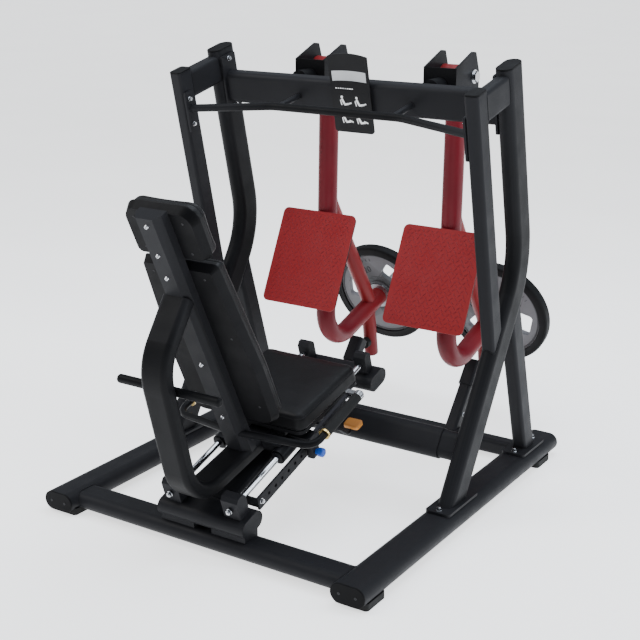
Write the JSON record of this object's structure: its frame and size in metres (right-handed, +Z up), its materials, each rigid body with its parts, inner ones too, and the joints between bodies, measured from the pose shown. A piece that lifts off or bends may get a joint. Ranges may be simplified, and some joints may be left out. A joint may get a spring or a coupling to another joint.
{
  "type": "leg press machine",
  "caption": "Plate-loaded seated leg press: a tall open frame, two independent swinging arms with foot plates and weight horns, and a padded seat and backrest that slide on inclined rails.",
  "frame": {"origin": "on the floor, under the middle of the machine's outline, loaded plates and backrest included", "axes": "+Y the way the seated user faces, +X the user's right, +Z up"},
  "size_m": [1.3118, 2.0855, 1.547],
  "materials": {
    "charcoal_frame": "satin",
    "black_plastic": "matte",
    "black_rubber": "matte",
    "placard_black": "satin",
    "chrome": "polished",
    "dark_steel": "satin",
    "black_housing": "satin",
    "gold_ring": "polished",
    "black_leather": "satin",
    "red_frame": "satin",
    "red_tread": "satin",
    "plate_backing": "satin",
    "horn_steel": "satin",
    "weight_black": "matte",
    "weight_grey": "satin",
    "blue_knob": "gloss",
    "orange_paddle": "satin"
  },
  "bodies": {
    "frame": {"left_runner": "charcoal_frame", "right_runner": "charcoal_frame", "tube_end_caps": "black_plastic", "runner_feet": "black_rubber", "rear_cross_tube": "charcoal_frame", "front_cross_tube": "charcoal_frame", "left_main_upright": "charcoal_frame", "right_main_upright": "charcoal_frame", "left_rear_upright": "charcoal_frame", "right_rear_upright": "charcoal_frame", "front_legs": "charcoal_frame", "leg_base_plates": "charcoal_frame", "top_ties": "charcoal_frame", "top_beam": "charcoal_frame", "beam_flanges": "charcoal_frame", "hand_bar": "charcoal_frame", "pivot_brackets": "charcoal_frame", "pivot_pins": "chrome", "placard_board": "placard_black", "frame_bolts": "chrome", "low_beam": "charcoal_frame", "rail_supports": "charcoal_frame", "rail_blocks": "charcoal_frame", "guide_rods": "chrome", "rail_centre_beam": "charcoal_frame", "index_strip": "charcoal_frame", "stop_posts": "charcoal_frame", "stop_bumpers": "black_rubber"},
    "left_arm": {"left_arm_tube": "red_frame", "left_arm_brace": "red_frame", "left_foot_plate": "plate_backing", "left_foot_tread": "red_tread", "left_weight_horn": "horn_steel"},
    "right_arm": {"right_arm_tube": "red_frame", "right_arm_brace": "red_frame", "right_foot_plate": "plate_backing", "right_foot_tread": "red_tread", "right_weight_horn": "horn_steel"},
    "left_weight": {"left_weight_rim": "weight_black", "left_weight_disc": "weight_grey"},
    "right_weight": {"right_weight_rim": "weight_black", "right_weight_disc": "weight_grey"},
    "carriage": {"bearing_housings": "black_housing", "carriage_frame": "charcoal_frame", "seat_tube": "charcoal_frame", "back_spine": "charcoal_frame", "pad_boards": "black_plastic", "back_pad": "black_leather", "head_pad": "black_leather", "seat_pad": "black_leather", "carriage_handles": "charcoal_frame", "hand_grips": "black_rubber", "grip_rings": "gold_ring", "lever_clamps": "chrome", "carriage_screws": "chrome"},
    "pull_pin": {"pull_pin": "blue_knob"},
    "release_lever": {"release_lever": "dark_steel", "release_paddle": "orange_paddle"},
    "left_hand_lever": {"left_hand_lever": "dark_steel"},
    "right_hand_lever": {"right_hand_lever": "dark_steel"}
  },
  "joints": [
    {"name": "left_arm_swing", "type": "hinge", "parent": "frame", "child": "left_arm", "pos_m": [-0.273, 0.375, 1.453], "axis": [1, 0, 0], "range_deg": [0, 38]},
    {"name": "left_weight_slide", "type": "slide", "parent": "left_arm", "child": "left_weight", "axis": [0, 0.9521, 0.3057], "range_m": [0, 0.26]},
    {"name": "right_arm_swing", "type": "hinge", "parent": "frame", "child": "right_arm", "pos_m": [0.273, 0.375, 1.453], "axis": [1, 0, 0], "range_deg": [0, 38]},
    {"name": "right_weight_slide", "type": "slide", "parent": "right_arm", "child": "right_weight", "axis": [0, 0.9521, 0.3057], "range_m": [0, 0.26]},
    {"name": "seat_slide", "type": "slide", "parent": "frame", "child": "carriage", "axis": [0, 0.9511, 0.309], "range_m": [-0.2, 0.05]},
    {"name": "pull_pin_slide", "type": "slide", "parent": "carriage", "child": "pull_pin", "axis": [1, 0, 0], "range_m": [0, 0.009], "stiffness_N_per_m": 900, "springref_m": -0.004},
    {"name": "release_lever_turn", "type": "hinge", "parent": "carriage", "child": "release_lever", "pos_m": [0.09, -0.38657, 0.34336], "axis": [1, 0, 0], "range_deg": [0, 15], "stiffness_Nm_per_rad": 2, "springref_deg": -14.32},
    {"name": "left_hand_lever_turn", "type": "hinge", "parent": "carriage", "child": "left_hand_lever", "pos_m": [-0.242, -0.30419, 0.44161], "axis": [0, 0.309, -0.9511], "range_deg": [0, 2.5], "stiffness_Nm_per_rad": 3, "springref_deg": -8.59},
    {"name": "right_hand_lever_turn", "type": "hinge", "parent": "carriage", "child": "right_hand_lever", "pos_m": [0.242, -0.30419, 0.44161], "axis": [0, -0.309, 0.9511], "range_deg": [0, 2.5], "stiffness_Nm_per_rad": 3, "springref_deg": -8.59}
  ]
}
